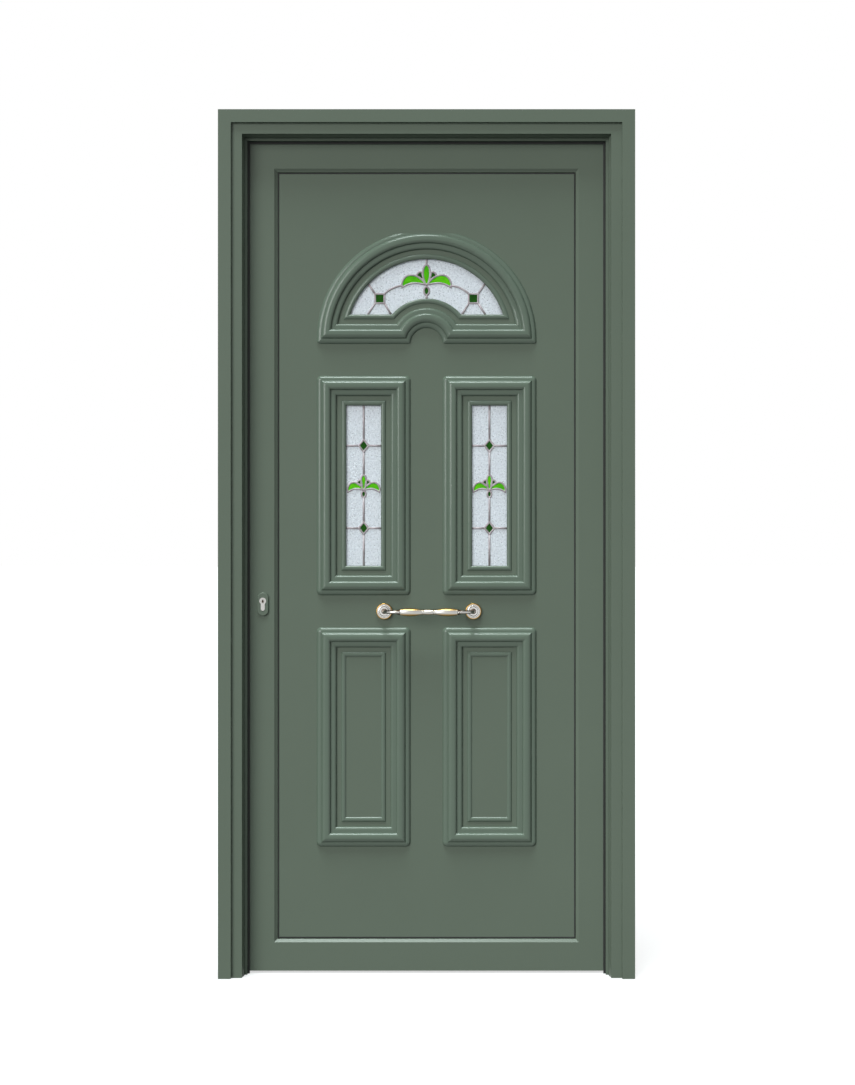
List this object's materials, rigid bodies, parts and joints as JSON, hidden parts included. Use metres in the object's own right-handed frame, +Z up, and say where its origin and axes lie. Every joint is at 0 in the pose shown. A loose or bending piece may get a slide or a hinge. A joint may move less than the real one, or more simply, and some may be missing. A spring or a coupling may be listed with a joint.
{
  "type": "panelled front door",
  "caption": "Painted metal entrance door in its frame, with raised panel mouldings, an arched leaded fanlight over leaded side lights, a pull handle and an inside lever.",
  "frame": {"origin": "on the floor, half-way across the frame's width and half-way through its whole depth", "axes": "+Z up, +X towards the hinge side, +Y towards the inside of the building"},
  "size_m": [1.042, 0.161, 2.172],
  "materials": {
    "door_paint": "satin grey-green powder coat on aluminium",
    "moulding_paint": "satin grey-green paint on moulded polyurethane",
    "bare_aluminium": "mill finish",
    "black_rubber": "matt",
    "bright_steel": "zinc plated, fine brushed",
    "foam": "rigid insulating foam",
    "clear_glass": "finely textured, clear",
    "lead": "half-round lead came",
    "leaf_glass": "bright green glass",
    "bud_glass": "dark green glass",
    "plug_brass": "fine turned",
    "gold_plate": "polished",
    "pearl_nickel": "pearl satin"
  },
  "bodies": {
    "frame": {"frame_head": "door_paint", "frame_jamb_lock": "door_paint", "frame_jamb_hinge": "door_paint", "trim_head": "door_paint", "trim_lock_side": "door_paint", "trim_hinge_side": "door_paint", "frame_corner_cleats": "bare_aluminium", "frame_seal": "black_rubber", "strike_plate": "bright_steel", "strike_screws": "bright_steel", "hinge_frame_wings": "door_paint", "hinge_pins": "bright_steel", "hinge_frame_screws": "bright_steel"},
    "leaf": {"leaf_stile_lock": "door_paint", "leaf_stile_hinge": "door_paint", "leaf_rail_top": "door_paint", "leaf_rail_bottom": "door_paint", "leaf_corner_cleats": "bare_aluminium", "glazing_bead_top": "door_paint", "glazing_bead_bottom": "door_paint", "glazing_bead_lock": "door_paint", "glazing_bead_hinge": "door_paint", "panel_gasket_outer": "black_rubber", "panel_gasket_inner": "black_rubber", "bottom_brush": "black_rubber", "panel_skin_outer": "door_paint", "panel_core": "foam", "panel_skin_inner": "door_paint", "mouldings_outer": "moulding_paint", "mouldings_inner": "moulding_paint", "fanlight_pane_outer": "clear_glass", "fanlight_pane_inner": "clear_glass", "fanlight_cames": "lead", "fanlight_leaves": "leaf_glass", "fanlight_buds": "bud_glass", "left_pane_outer": "clear_glass", "left_pane_inner": "clear_glass", "right_pane_outer": "clear_glass", "right_pane_inner": "clear_glass", "side_cames": "lead", "side_leaves": "leaf_glass", "side_buds": "bud_glass", "glass_spacers": "bare_aluminium", "lock_case": "bright_steel", "lock_forend": "bright_steel", "cylinder_body": "bright_steel", "escutcheons": "door_paint", "lever_rose": "door_paint", "hinge_leaf_wings": "door_paint", "leaf_screws": "bright_steel", "pull_rosettes": "gold_plate", "pull_arms": "pearl_nickel", "pull_grips": "gold_plate", "pull_knob": "pearl_nickel", "pull_bolts": "pearl_nickel"},
    "latch_bolt": {"latch_bolt": "bright_steel"},
    "dead_bolt": {"dead_bolt": "bright_steel"},
    "cylinder_plug": {"cylinder_plug": "plug_brass"},
    "lever": {"lever_handle": "pearl_nickel", "lever_spindle": "bright_steel"}
  },
  "joints": [
    {"name": "leaf_hinge", "type": "hinge", "parent": "frame", "child": "leaf", "pos_m": [0.45975, 0.039, 1.05725], "axis": [0, 0, -1], "range_deg": [0, 110]},
    {"name": "lever_turn", "type": "hinge", "parent": "leaf", "child": "lever", "pos_m": [-0.414, 0.06, 1.027], "axis": [0, 1, 0], "range_deg": [0, 45], "stiffness_Nm_per_rad": 2, "springref_deg": -22.92},
    {"name": "latch_slide", "type": "slide", "parent": "leaf", "child": "latch_bolt", "axis": [1, 0, 0], "range_m": [0, 0.012]},
    {"name": "plug_turn", "type": "hinge", "parent": "leaf", "child": "cylinder_plug", "pos_m": [-0.414, 0, 0.942], "axis": [0, 1, 0], "range_deg": [0, 360]},
    {"name": "bolt_slide", "type": "slide", "parent": "leaf", "child": "dead_bolt", "axis": [-1, 0, 0], "range_m": [0, 0.02]}
  ],
  "couplings": [
    {"joint": "latch_slide", "follows": "lever_turn", "m_per_rad": 0.015278},
    {"joint": "bolt_slide", "follows": "plug_turn", "m_per_rad": 0.003183}
  ]
}
